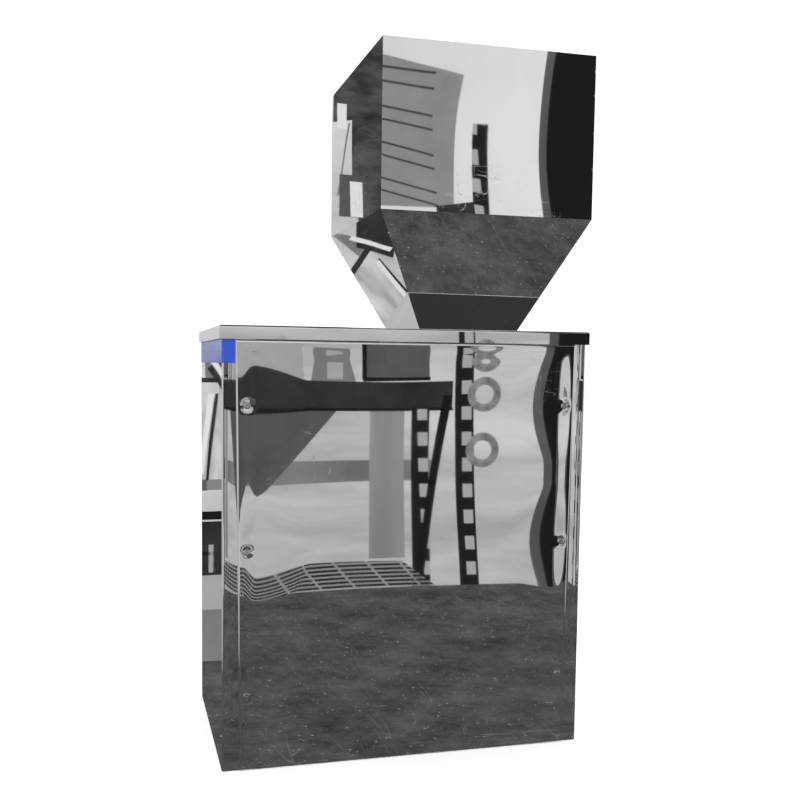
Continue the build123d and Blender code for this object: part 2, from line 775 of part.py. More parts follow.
def pull_wheel(x):
    """Rubber wheel pressed on its shaft, with a grooved rim."""
    with BuildPart() as wheel:
        rod((x, form_y - wheel_width / 2, wheel_z), (0, 1, 0), wheel_radius, wheel_width)
        chamfer(edges(), 1.0)
        for y in (form_y - groove_pitch, form_y, form_y + groove_pitch):
            with BuildSketch(Plane.XZ.offset(-y + groove_width / 2)):
                with Locations((x, wheel_z)):
                    Circle(wheel_radius)
                    Circle(wheel_radius - groove_depth, mode=Mode.SUBTRACT)
            extrude(amount=-groove_width, mode=Mode.SUBTRACT)
        rod((x, form_y - wheel_width / 2, wheel_z), (0, 1, 0), shaft_radius + press_clearance, wheel_width,
            Mode.SUBTRACT)
    return wheel


left_pull_wheel = pull_wheel(pull_xs[0])
save(left_pull_wheel, "left_pull_wheel")
right_pull_wheel = pull_wheel(pull_xs[1])
save(right_pull_wheel, "right_pull_wheel")

motor_front = shaft_rear
mount_rise = 52.0
with BuildPart() as pull_motor:
    rod((pull_xs[0], motor_front - motor_length, wheel_z), (0, 1, 0), motor_radius, motor_length)
    chamfer(edges().group_by(Axis.Y)[0], 2.0)
    block(around(pull_xs[0], motor_radius + 3), (motor_front - 3, motor_front),
          (wheel_z, wheel_z + mount_rise + 4))
    block(around(pull_xs[0], motor_radius + 3), (motor_front - 3, plate_rear),
          (wheel_z + mount_rise, wheel_z + mount_rise + 4))
save(pull_motor, "pull_motor")

# ---- Sealing ----

sealer_rear = form_y + form_radius + film_gap + sealer_gap
sealer_front = sealer_rear + sealer_depth
with BuildPart() as vertical_sealer:
    block(around(hopper_x, sealer_width / 2), (sealer_rear, sealer_front), (sealer_bottom, sealer_top))
    block(around(hopper_x, 2.0), (sealer_rear, sealer_rear + 1), (sealer_bottom, sealer_top), Mode.SUBTRACT)
    chamfer(edges().filter_by(Axis.X).group_by(Axis.Y)[-1], 2.0)
save(vertical_sealer, "vertical_sealer")

arm_x = hopper_x + arm_reach
with BuildPart() as sealer_arm:
    block((hopper_x - 6, arm_x), (sealer_front, sealer_front + arm_thickness), (arm_bottom, arm_top))
    block((arm_x - arm_thickness, arm_x), (plate_front + 12, sealer_front + arm_thickness),
          (arm_bottom, arm_top))
save(sealer_arm, "sealer_arm")

guide_wall = 5.0
guide_reach = 46.0
guide_play = 0.1
with BuildPart() as sealer_guide:
    block((arm_x - arm_thickness - guide_wall, arm_x + guide_wall), (plate_front, plate_front + guide_reach),
          (arm_bottom - guide_wall, arm_top + guide_wall))
    block((arm_x - arm_thickness - guide_play, arm_x + guide_play), (plate_front, plate_front + guide_reach),
          (arm_bottom - guide_play, arm_top + guide_play), Mode.SUBTRACT)
save(sealer_guide, "sealer_guide")

rod_xs = (hopper_x - rod_spread / 2, hopper_x + rod_spread / 2)


def sealing_jaw(outward, slot_depth):
    """Jaw block on two guide rods, its ribbed face towards the film."""
    face = form_y + outward * jaw_open
    back = face + outward * face_depth
    far = back + outward * jaw_depth
    with BuildPart() as jaw:
        block(around(hopper_x, jaw_width / 2), sorted((back, far)), around(jaw_z, jaw_height / 2))
        block(around(hopper_x, face_width / 2), sorted((face, back)), around(jaw_z, face_height / 2))
        for row in (-2, -1, 1, 2):
            groove = jaw_z + row * rib_pitch
            block(around(hopper_x, face_width / 2), sorted((face, face + outward * rib_depth)),
                  around(groove, rib_gap / 2), Mode.SUBTRACT)
        for x in rod_xs:
            rod((x, min(back, far), jaw_z), (0, 1, 0), rod_radius + running_clearance, jaw_depth,
                Mode.SUBTRACT)
        block(around(hopper_x, blade_width / 2 + 1), sorted((face, face + outward * slot_depth)),
              around(jaw_z, blade_slot / 2), Mode.SUBTRACT)
    return jaw


rear_jaw = sealing_jaw(-1, blade_pocket)
save(rear_jaw, "rear_jaw")
front_jaw = sealing_jaw(1, blade_channel)
save(front_jaw, "front_jaw")

blade_rear = form_y + jaw_open + blade_setback
with BuildPart() as cutter_blade:
    block(around(hopper_x, blade_width / 2), (blade_rear, blade_rear + blade_depth),
          around(jaw_z, blade_thickness / 2))
    chamfer(edges().filter_by(Axis.X).group_by(Axis.Y)[0], 0.5)
save(cutter_blade, "cutter_blade")

with BuildPart() as jaw_rods:
    for x in rod_xs:
        rod((x, plate_front, jaw_z), (0, 1, 0), rod_radius, rod_front - plate_front)
save(jaw_rods, "jaw_rods")

with BuildPart() as rod_end_bar:
    block(around(hopper_x, jaw_width / 2), (rod_front, rod_front + end_bar_depth), around(jaw_z, 7.0))
    fillet(edges().filter_by(Axis.Y), 4.0)
save(rod_end_bar, "rod_end_bar")

pinion_radius = pinion_module * pinion_teeth / 2
pinion_right = pinion_left + pinion_width
with BuildPart() as jaw_pinion:
    with BuildSketch(Plane.YZ.offset(pinion_left)):
        with BuildLine():
            Polyline(*toothed_outline(pinion_teeth, pinion_module, tooth_share, pi / 2), close=True)
        make_face()
    extrude(amount=pinion_width)
    rod((divider_left, 0, 0), (1, 0, 0), pinion_shaft, pinion_left - divider_left)
    rod((pinion_left - hub_length, 0, 0), (1, 0, 0), pinion_hub, hub_length)
jaw_pinion.part.position = (0, form_y, pinion_z)
save(jaw_pinion, "jaw_pinion")


def jaw_rack(centre, side):
    """Rack above (side 1) or below (side -1) the pinion, centred at a place along Y."""
    with BuildPart() as rack:
        with BuildSketch(Plane.YZ.offset(pinion_left)):
            with BuildLine():
                Polyline(*rack_outline(rack_length, form_y - centre, pinion_module, rack_back, side),
                         close=True)
            make_face()
        extrude(amount=pinion_width)
    rack.part.position = (0, centre, pinion_z + side * pinion_radius)
    return rack


jaw_bottom = jaw_z - jaw_height / 2
rear_jaw_far = form_y - jaw_open - face_depth - jaw_depth
front_jaw_far = form_y + jaw_open + face_depth + jaw_depth
upper_top = pinion_z + pinion_radius + rack_back
lower_bottom = pinion_z - pinion_radius - rack_back
with BuildPart() as rear_rack:
    add(jaw_rack(rear_jaw_far + 2 + rack_length / 2, 1).part)
    block((pinion_left, pinion_left + lug_width), (rear_jaw_far + 2, rear_jaw_far + 18),
          (upper_top, jaw_bottom))
save(rear_rack, "rear_rack")

with BuildPart() as front_rack:
    add(jaw_rack(front_jaw_far - 2 - rack_length / 2, -1).part)
    block((pinion_left, pinion_left + lug_width), (front_jaw_far - 14, front_jaw_far - 2),
          (lower_bottom, lower_bottom + 4.5))
    block((pinion_right + 2, pinion_left + lug_width), (front_jaw_far - 14, front_jaw_far - 2),
          (lower_bottom, jaw_bottom))
save(front_rack, "front_rack")

gearbox_half = 30.0
gearbox_length = 40.0
jaw_motor_radius = 22.0
jaw_motor_length = 48.0
with BuildPart() as jaw_motor:
    block((divider_left - gearbox_length, divider_left), around(form_y, gearbox_half),
          around(pinion_z, gearbox_half))
    fillet(edges().filter_by(Axis.X), 6.0)
    rod((divider_left - gearbox_length, form_y, pinion_z), (-1, 0, 0), jaw_motor_radius, jaw_motor_length)
save(jaw_motor, "jaw_motor")

with BuildPart() as bag_chute:
    floor_line = [(plate_front, chute_high), (chute_front, chute_low)]
    with BuildSketch(Plane.YZ.offset(chute_left)):
        with BuildLine():
            Polyline(*floor_line, (chute_front, chute_low + chute_wall),
                     (plate_front, chute_high + chute_wall),
                     close=True)
        make_face()
    extrude(amount=chute_right - chute_left)
    with BuildSketch(Plane.YZ.offset(chute_left + sheet)):
        with BuildLine():
            Polyline((plate_front, chute_high + sheet), (chute_front, chute_low + sheet),
                     (chute_front, chute_low + chute_wall), (plate_front,
                                                             chute_high + chute_wall), close=True)
        make_face()
    extrude(amount=chute_right - chute_left - 2 * sheet, mode=Mode.SUBTRACT)
save(bag_chute, "bag_chute")

# ---- Door ----

door_rear = half_depth + door_gap
door_front = door_rear + door_thickness
with BuildPart() as front_door:
    block((door_left, door_right), (door_rear, door_front), (door_bottom, door_top))
    fillet(edges().filter_by(Axis.Y), door_corner)
    fillet(edges().group_by(Axis.Y)[-1], 1.0)
save(front_door, "front_door")

post_spread = 80.0
handle_reach = 20.0
handle_length = 100.0
handle_x = door_left + handle_reach
handle_z = (door_bottom + door_top) / 2
with BuildPart() as door_handle:
    for z in (handle_z - post_spread / 2, handle_z + post_spread / 2):
        rod((handle_x, door_front, z), (0, 1, 0), 5.0, handle_reach)
    rod((handle_x, door_front + handle_reach, handle_z - handle_length / 2), (0, 0, 1), 6.0, handle_length)
    fillet(edges().filter_by(GeomType.CIRCLE).group_by(Axis.Z)[0], 2.0)
    fillet(edges().filter_by(GeomType.CIRCLE).group_by(Axis.Z)[-1], 2.0)
save(door_handle, "door_handle")

with BuildPart() as door_hinges:
    for z in hinge_heights:
        block((hinge_x + hinge_radius + 1, hinge_x + leaf_width), (half_depth, half_depth + leaf_thickness),
              around(z, knuckle_length))
        block((hinge_x, hinge_x + leaf_width), (half_depth, half_depth + leaf_thickness + 1),
              (z - knuckle_length, z))
        rod((hinge_x, hinge_y, z - knuckle_length), (0, 0, 1), hinge_radius, knuckle_length)
        rod((hinge_x, hinge_y, z - knuckle_length), (0, 0, 1), hinge_pin_radius,
            2 * knuckle_length + knuckle_gap)
save(door_hinges, "door_hinges")

with BuildPart() as door_knuckles:
    for z in hinge_heights:
        low = z + knuckle_gap
        block((hinge_x - knuckle_leaf, hinge_x), (door_front, door_front + leaf_thickness),
              (low, low + knuckle_length))
        rod((hinge_x, hinge_y, low), (0, 0, 1), hinge_radius, knuckle_length)
        rod((hinge_x, hinge_y, low), (0, 0, 1), hinge_pin_radius + running_clearance, knuckle_length,
            Mode.SUBTRACT)
save(door_knuckles, "door_knuckles")

# ---- Controls and power ----

with BuildPart() as control_display:
    block(around(panel_x, display_width / 2), (cover_face, cover_face + display_proud),
          around(display_z, display_height / 2))
    fillet(edges().filter_by(Axis.Y), 4.0)
    block(around(panel_x, display_width / 2 - display_frame), (cover_face + 3, cover_face + display_proud),
          around(display_z, display_height / 2 - display_frame), Mode.SUBTRACT)
    block(around(panel_x, display_width / 2 - display_body), (cover_face - display_depth, cover_face),
          around(display_z, display_height / 2 - display_body))
save(control_display, "control_display")

button_back = cover_face - cover_sheet


def push_button(x):
    """Round cap with its collar behind the panel."""
    with BuildPart() as button:
        rod((x, button_back, button_z), (0, 1, 0), button_radius, 9.0)
        fillet(edges().group_by(Axis.Y)[-1], 2.0)
        rod((x, button_back - 4, button_z), (0, 1, 0), button_radius + 2, 4.0)
    return button


start_button = push_button(button_xs[0])
save(start_button, "start_button")
stop_button = push_button(button_xs[1])
save(stop_button, "stop_button")

with BuildPart() as emergency_stop:
    rod((panel_x, cover_face + 6, stop_z), (0, 1, 0), mushroom_radius, stop_height)
    fillet(edges().group_by(Axis.Y)[-1], 6.0)
    rod((panel_x, button_back - stem_depth, stop_z), (0, 1, 0), stop_stem, stem_depth + 10)
save(emergency_stop, "emergency_stop")

with BuildPart() as main_switch:
    rod((panel_x, cover_face + 0.5, switch_z), (0, 1, 0), switch_disc, 6.0)
    chamfer(edges().group_by(Axis.Y)[-1], 1.0)
    block(around(panel_x, switch_grip), (cover_face + 5, cover_face + 18), around(switch_z, switch_disc - 1))
    rod((panel_x, button_back - stem_depth, switch_z), (0, 1, 0), shaft_radius, stem_depth + 4)
save(main_switch, "main_switch")

with BuildPart() as power_inlet:
    block((half_width, half_width + inlet_rim), around(inlet_y, inlet_width / 2 + 10),
          around(inlet_z, inlet_height / 2 + 2))
    fillet(edges().filter_by(Axis.X), 4.0)
    block((half_width - inlet_depth, half_width), around(inlet_y, inlet_width / 2),
          around(inlet_z, inlet_height / 2))
    block((half_width - 15, half_width + inlet_rim), around(inlet_y, 12.0), around(inlet_z, 8.0),
          Mode.SUBTRACT)
    for y, z in ((inlet_y, inlet_z + 3.0), (inlet_y - 7.0, inlet_z - 2.0), (inlet_y + 7.0, inlet_z - 2.0)):
        block((half_width - 15, half_width - 1), around(y, 1.0), around(z, 2.0))
save(power_inlet, "power_inlet")

supply_x = (-inner_x + 14, -inner_x + 99)
supply_y = (-120.0, 20.0)
supply_height = 50.0
with BuildPart() as power_supply:
    block(supply_x, supply_y, (tray_floor, tray_floor + supply_height))
    fillet(edges().filter_by(Axis.Z), 2.0)
save(power_supply, "power_supply")

board_y = (-100.0, 40.0)
board_z = (260.0, 420.0)
post_inset = 6.0
post_length = 8.0
board_back = divider_left - post_length
board_face = board_back - 1.6
relay_y = (-70.0, -30.0)
relay_z = (280.0, 320.0)
terminal_y = (-20.0, 20.0)
terminal_z = (350.0, 400.0)
capacitor_z = 380.0
capacitor_radius = 7.0
capacitor_length = 20.0
with BuildPart() as control_board:
    block((board_face, board_back), board_y, board_z)
    for y in (board_y[0] + post_inset, board_y[1] - post_inset):
        for z in (board_z[0] + post_inset, board_z[1] - post_inset):
            rod((board_back, y, z), (1, 0, 0), post_inset / 2, post_length)
    block((board_face - 14.4, board_face), relay_y, relay_z)
    block((board_face - 8.4, board_face), terminal_y, terminal_z)
    for y in (-80, -60, -40):
        rod((board_face, y, capacitor_z), (-1, 0, 0), capacitor_radius, capacitor_length)
save(control_board, "control_board")
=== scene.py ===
import bmesh
import bpy
import json
import math
from mathutils import Matrix, Vector


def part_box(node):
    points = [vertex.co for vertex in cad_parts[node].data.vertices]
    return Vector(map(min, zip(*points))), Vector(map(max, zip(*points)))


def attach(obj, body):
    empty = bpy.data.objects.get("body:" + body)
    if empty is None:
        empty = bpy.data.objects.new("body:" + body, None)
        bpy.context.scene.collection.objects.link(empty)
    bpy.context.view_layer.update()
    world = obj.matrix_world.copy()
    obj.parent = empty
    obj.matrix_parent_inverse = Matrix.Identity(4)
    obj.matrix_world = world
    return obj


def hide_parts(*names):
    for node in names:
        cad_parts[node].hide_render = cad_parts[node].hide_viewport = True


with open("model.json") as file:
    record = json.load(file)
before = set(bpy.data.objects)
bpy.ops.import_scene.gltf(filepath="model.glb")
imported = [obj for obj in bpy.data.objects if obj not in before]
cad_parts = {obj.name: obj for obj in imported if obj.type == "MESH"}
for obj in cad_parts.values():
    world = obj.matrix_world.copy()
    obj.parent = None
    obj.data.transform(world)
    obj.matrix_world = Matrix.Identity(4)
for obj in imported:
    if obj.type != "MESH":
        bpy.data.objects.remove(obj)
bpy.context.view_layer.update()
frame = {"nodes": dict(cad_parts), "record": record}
print("frame loaded:", len(frame["nodes"]), "nodes")


class Sock:  # a node socket that can stand in an expression
    def __init__(self, finish, out):
        self.finish = finish
        self.out = out

    def maths(self, operation, *others):
        sockets = dict(enumerate((self, *others)))
        return self.finish.node("ShaderNodeMath", {"operation": operation}, sockets)

    def __add__(self, other):
        return self.maths("ADD", other)

    def __sub__(self, other):
        return self.maths("SUBTRACT", other)

    def __rsub__(self, other):
        return self.finish.node("ShaderNodeMath", {"operation": "SUBTRACT"}, {0: other, 1: self})

    def __mul__(self, other):
        return self.maths("MULTIPLY", other)

    def __gt__(self, other):
        return self.maths("GREATER_THAN", other)

    def __abs__(self):
        return self.maths("ABSOLUTE")

    __radd__ = __add__
    __rmul__ = __mul__


class Finish:  # the nodes of a material or of the world, and their main shader
    def __init__(self, name, shader="ShaderNodeBsdfPrincipled", world=None, **fixed):
        self.material = world or bpy.data.materials.new(name)
        self.material.use_nodes = True
        self.tree = self.material.node_tree
        self.tree.nodes.clear()
        output = self.tree.nodes.new("ShaderNodeOutputWorld" if world else "ShaderNodeOutputMaterial")
        self.main = self.tree.nodes.new(shader)
        self.tree.links.new(self.main.outputs[0], output.inputs[0])
        for key, value in fixed.items():
            self.main.inputs[key.replace("_", " ")].default_value = value

    def feed(self, socket, value):
        if isinstance(value, Sock):
            self.tree.links.new(value.out, socket)
        else:
            socket.default_value = value

    def put(self, name, value):
        self.feed(self.main.inputs[name], value)

    def node(self, kind, settings=None, inputs=None, output=0):
        made = self.tree.nodes.new(kind)
        for key, value in (settings or {}).items():
            if key == "stops":
                for _ in range(len(value) - 2):
                    made.color_ramp.elements.new(0.5)
                for stop, (place, grey) in zip(made.color_ramp.elements, value):
                    stop.position = place
                    stop.color = (grey, grey, grey, 1)
            else:
                setattr(made, key, value)
        for key, value in (inputs or {}).items():
            self.feed(made.inputs[key], value)
        return Sock(self, made.outputs[output])

    def coords(self, scale=(1, 1, 1), turn=(0, 0, 0), shift=(0, 0, 0)):
        place = self.node("ShaderNodeTexCoord", output="Object")
        return self.node("ShaderNodeMapping", None,
                         {"Vector": place, "Scale": scale, "Rotation": turn, "Location": shift})

    def axes(self, space="Object"):  # the three coordinates, one by one
        place = self.node("ShaderNodeTexCoord", output=space)
        split = self.node("ShaderNodeSeparateXYZ", None, {"Vector": place})
        return [Sock(self, out) for out in split.out.node.outputs]

    def noise(self, scale, detail=2.0, roughness=0.5, coords=None, distortion=0.0):
        return self.node("ShaderNodeTexNoise", None,
                         {"Vector": coords or self.coords(), "Scale": scale, "Detail": detail,
                          "Roughness": roughness, "Distortion": distortion})

    def ramp(self, value, stops):
        return self.node("ShaderNodeValToRGB", {"stops": stops}, {"Fac": value})

    def scratches(self, coords, scale, width):  # thin lines where a stretched noise crosses its middle
        lines = self.noise(scale, 1.0, 0.4, coords, 0.6)
        return self.ramp(lines, [(0.5 - width, 0), (0.5, 1), (0.5 + width, 0)])

    def blend(self, factor, first, second):
        firstSocket, secondSocket, colourResult = 6, 7, 2  # the colour sockets of the Mix node
        colours = [colour if isinstance(colour, Sock) else (*colour, 1) for colour in (first, second)]
        return self.node("ShaderNodeMix", {"data_type": "RGBA"},
                         {"Factor": factor, firstSocket: colours[0], secondSocket: colours[1]}, colourResult)

    def bump(self, height, distance):  # height from 0 to 1, distance in metres
        self.put("Normal", self.node("ShaderNodeBump", None, {"Height": height, "Distance": distance}))


def scaled(colour, factor, lift=0.0):
    return [tone * factor + lift for tone in colour]


def mirrorSteel(name, waveScale=4.0, waveHeight=0.0016, tint=0.86, shift=(0, 0, 0), bow=None, curl=None):
    finish = Finish(name, Metallic=1.0)
    sheetWave = finish.noise(waveScale, 0.6, 0.3, finish.coords(shift=shift)) * waveHeight
    smudge = finish.noise(9.0, 5.0, 0.6, finish.coords((1, 1, 0.6)))
    longScratch = finish.scratches(finish.coords((1, 1, 9), (0.3, 0.2, 0.5)), 14.0, 0.0025)
    crossScratch = finish.scratches(finish.coords((7, 7, 1), (0.5, 0.9, 0.1)), 11.0, 0.002)
    sparse = finish.noise(5.0, 1.0) > 0.56
    marks = (longScratch + crossScratch) * sparse
    across, _, up = finish.axes()
    if bow:  # the sheet leans sideways, most at the middle height
        lift = ((up - bow["middle"]) * (math.pi / 2 / bow["half"])).maths("COSINE")
        sheetWave = sheetWave + lift * across * bow["lean"]
    if curl:  # the sheet turns up towards its folds
        edge = abs(across) - curl["start"]
        sheetWave = sheetWave + edge * edge * (curl["depth"] / curl["width"] / curl["width"])
    clean = (tint, tint, tint * 1.005)
    dull = (tint * 0.93, tint * 0.93, tint * 0.94)
    finish.put("Base Color", finish.blend(smudge, clean, dull))
    finish.put("Roughness", 0.008 + smudge * smudge * 0.035 + marks * 0.12)
    finish.bump(sheetWave, 1.0)
    return finish.material


def brushedSteel(name, tint, rough, grain=(2, 2, 160), height=0.00004):
    finish = Finish(name, Metallic=1.0)
    lines = finish.noise(30.0, 4.0, 0.7, finish.coords(grain))
    stain = finish.noise(16.0, 4.0, 0.6)
    finish.put("Base Color", finish.blend(stain, scaled(tint, 1.06), scaled(tint, 0.86)))
    finish.put("Roughness", rough + lines * 0.16 + stain * 0.08)
    finish.bump(lines, height)
    return finish.material


def plastic(name, colour, rough=0.35, grain=0.00003, coat=0.0):
    finish = Finish(name, Coat_Weight=coat, Coat_Roughness=0.08)
    grainNoise = finish.noise(2600.0, 2.0, 0.6)
    wear = finish.noise(38.0, 4.0, 0.65)
    finish.put("Base Color", finish.blend(wear, colour, scaled(colour, 0.82, 0.006)))
    finish.put("Roughness", rough + wear * 0.18)
    finish.bump(grainNoise, grain)
    return finish.material


def powderCoat(name, colour):
    finish = Finish(name)
    peel = finish.noise(700.0, 3.0, 0.6)
    dust = finish.noise(24.0, 5.0, 0.6)
    finish.put("Base Color", finish.blend(dust, colour, scaled(colour, 1.6, 0.02)))
    finish.put("Roughness", 0.38 + dust * 0.25)
    finish.bump(peel, 0.00008)
    return finish.material


def clearSheet(name):
    finish = Finish(name, IOR=1.49, Transmission_Weight=1.0)
    haze = finish.noise(12.0, 4.0, 0.6)
    marks = finish.scratches(finish.coords((1, 1, 6), (0.2, 0.7, 0.4)), 22.0, 0.003)
    finish.put("Base Color", finish.blend(haze, (0.93, 0.96, 0.97), (0.86, 0.9, 0.92)))
    finish.put("Roughness", 0.01 + haze * 0.03 + marks * 0.25)
    return finish.material


def circuitBoard(name):
    finish = Finish(name, Coat_Weight=0.4)
    cells = finish.node("ShaderNodeTexVoronoi", {"feature": "DISTANCE_TO_EDGE", "distance": "MANHATTAN"},
                        {"Vector": finish.coords((0, 1, 1)), "Scale": 120.0})
    tracks = cells > 0.12
    finish.put("Base Color", finish.blend(tracks, (0.09, 0.3, 0.12), (0.02, 0.13, 0.05)))
    finish.put("Roughness", 0.3 + tracks * 0.15)
    finish.bump(tracks, 0.00003)
    return finish.material


def softRubber(name, colour):
    finish = Finish(name)
    speck = finish.noise(420.0, 3.0, 0.7)
    scuff = finish.noise(40.0, 4.0, 0.6)
    finish.put("Base Color", finish.blend(scuff, colour, scaled(colour, 0.6)))
    finish.put("Roughness", 0.55 + speck * 0.25)
    finish.bump(speck, 0.00006)
    return finish.material


def thinFilm(name, colour):
    finish = Finish(name, Coat_Weight=0.5, Coat_Roughness=0.1)
    creaseAndShade = finish.noise(55.0, 3.0, 0.6, finish.coords((1, 0.3, 1.4)))
    # painted shade: the blue is darker along the crease pattern, on top of the crease bumps
    finish.put("Base Color", finish.blend(creaseAndShade, colour, scaled(colour, 0.75)))
    finish.put("Roughness", 0.22 + creaseAndShade * 0.2)
    finish.bump(creaseAndShade, 0.0006)
    return finish.material


finishes = {
    "mirror_steel": mirrorSteel("mirrorSteel"),
    "steel": brushedSteel("satinSteel", (0.55, 0.55, 0.56), 0.22),
    "aluminium": brushedSteel("milledAluminium", (0.72, 0.72, 0.73), 0.26, (90, 2, 2)),
    "zinc": brushedSteel("zincPlate", (0.66, 0.66, 0.62), 0.16, (3, 3, 3), 0.00002),
    "brass": brushedSteel("sealBarBrass", (0.7, 0.5, 0.22), 0.24, (2, 60, 2)),
    "black_plastic": plastic("blackPlastic", (0.018, 0.018, 0.02), 0.34),
    "clear_door": clearSheet("clearDoor"),
    "rubber": softRubber("pullRubber", (0.42, 0.09, 0.04)),
    "red_plastic": plastic("redPlastic", (0.55, 0.02, 0.015), 0.2, 0.00001, 0.5),
    "green_plastic": plastic("greenPlastic", (0.015, 0.32, 0.06), 0.2, 0.00001, 0.5),
    "blue_film": thinFilm("blueFilm", (0.0035, 0.045, 0.37)),
    "board_green": circuitBoard("circuitBoard"),
    "dark_motor": powderCoat("motorCoat", (0.035, 0.037, 0.04)),
}
hopperBow = {"middle": 0.785, "half": 0.14, "lean": -0.0085}
sideCurl = {"start": 0.212, "width": 0.02, "depth": 0.0018}
ownFinish = {  # the large sheets each dent in their own way
    "hopper": mirrorSteel("hopperSteel", 3.4, 0.0016, 0.9, (0.31, 0.7, 0.12), bow=hopperBow),
    "left_side": mirrorSteel("sideSteel", 3.0, 0.0009, 0.88, (0.5, 0.2, 0.9), curl=sideCurl),
    "right_side": mirrorSteel("rightSteel", 3.0, 0.0009, 0.88, (0.9, 0.6, 0.2), curl=sideCurl),
    "top_cover": mirrorSteel("lidSteel", 4.5, 0.0016, 0.9, (0.2, 0.1, 0.4)),
    "control_front": mirrorSteel("frontSteel", 4.0, 0.0012, 0.86, (0.7, 0.4, 0.6)),
}
slotOf = {entry["node"]: entry["material_slot"] for entry in frame["record"]["subparts"]}
for nodeName, nodeObject in frame["nodes"].items():
    nodeObject.data.materials.clear()
    nodeObject.data.materials.append(ownFinish.get(nodeName, finishes[slotOf[nodeName]]))
print("finishes on", len(frame["nodes"]), "nodes")

facingFront = (math.pi / 2, 0, 0)  # turns a piece's own Z axis to lie along Y


def deselect():
    if bpy.context.object and bpy.context.object.mode != "OBJECT":
        bpy.ops.object.mode_set(mode="OBJECT")
    bpy.ops.object.select_all(action="DESELECT")


def alone(piece):  # the only selected object, and the active one
    deselect()
    piece.select_set(True)
    bpy.context.view_layer.objects.active = piece


def settle(piece):  # place into the mesh, object at the origin
    alone(piece)
    bpy.ops.object.transform_apply(location=True, rotation=True, scale=True)


def added(name):  # the object that the last operator made
    piece = bpy.context.active_object
    piece.name = name
    piece.data.name = name
    return piece


def cylinder(name, radius, depth, centre, vertices):
    deselect()
    bpy.ops.mesh.primitive_cylinder_add(vertices=vertices, radius=radius, depth=depth,
                                        rotation=facingFront, location=centre)
    piece = added(name)
    settle(piece)
    return piece


def block(name, size, centre, turn=(0, 0, 0)):
    deselect()
    bpy.ops.mesh.primitive_cube_add(size=1, location=centre, rotation=turn)
    piece = added(name)
    piece.scale = size
    settle(piece)
    return piece


def pickEdges(piece, test):  # edit mode, with only the edges that pass
    bpy.context.view_layer.objects.active = piece
    bpy.ops.object.mode_set(mode="EDIT")
    bpy.ops.mesh.select_mode(type="EDGE")
    bpy.ops.mesh.select_all(action="DESELECT")
    for edge in bmesh.from_edit_mesh(piece.data).edges:
        if test(edge):
            edge.select_set(True)
    bmesh.update_edit_mesh(piece.data)


def bevelled(piece, test, offset, segments, **options):
    pickEdges(piece, test)
    bpy.ops.mesh.bevel(offset=offset, segments=segments, affect="EDGES", **options)
    bpy.ops.object.mode_set(mode="OBJECT")


def beyond(edge, y):  # the whole edge lies further out than y
    return all(vert.co.y > y for vert in edge.verts)


def joined(name, parts):
    deselect()
    for part in parts:
        part.select_set(True)
    bpy.context.view_layer.objects.active = parts[0]
    bpy.ops.object.join()
    return added(name)


def copied(piece, place):  # a copy with its own mesh, moved by a vector
    twin = piece.copy()
    twin.data = piece.data.copy()
    bpy.context.collection.objects.link(twin)
    twin.data.transform(Matrix.Translation(place))
    return twin


def cut(tool, target):  # boolean by a modifier, then the tool goes
    trim = target.modifiers.new("trim", "BOOLEAN")
    trim.operation = "DIFFERENCE"
    trim.object = tool
    bpy.context.view_layer.objects.active = target
    bpy.ops.object.modifier_apply(modifier=trim.name)
    bpy.data.objects.remove(tool)


def finished(piece, material, angle=35):  # every new piece is fixed to the cabinet
    alone(piece)
    bpy.ops.object.shade_smooth_by_angle(angle=math.radians(angle))
    piece.data.materials.clear()
    piece.data.materials.append(material)
    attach(piece, "cabinet")


def faded(distance, radius):  # from 1 at the middle, smoothly down to 0 at the radius
    return max(0.0, 1 - (distance / radius) ** 2) ** 2


rearCoverSize = {
    "gapTop": 0.0156, "gapBottom": 0.0208, "thickness": 0.0012, "proud": 0.003, "bend": 0.0023,
    "bendSegments": 5, "cellsAcross": 128, "cellsUp": 152, "dishRadius": 0.0082, "dishDepth": 0.0009,
    "bowlRadius": 0.075, "bowlDepth": 0.00042, "edgeFlat": 0.004, "edgeStiff": 0.016, "buckle": 0.00012,
    "ripplesAcross": 15, "startAcross": 2.1, "ripplesUp": 11, "startUp": 0.4,
}
screwRows = {"headRadius": 0.004, "rows": 3}


def screwPlaces():  # heads in pairs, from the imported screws
    low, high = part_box("rear_cover_screws")
    reach, rows = screwRows["headRadius"], screwRows["rows"]
    for row in range(rows):
        height = low.z + reach + (high.z - low.z - 2 * reach) * row / (rows - 1)
        for across in (low.x + reach, high.x - reach):
            yield across, height


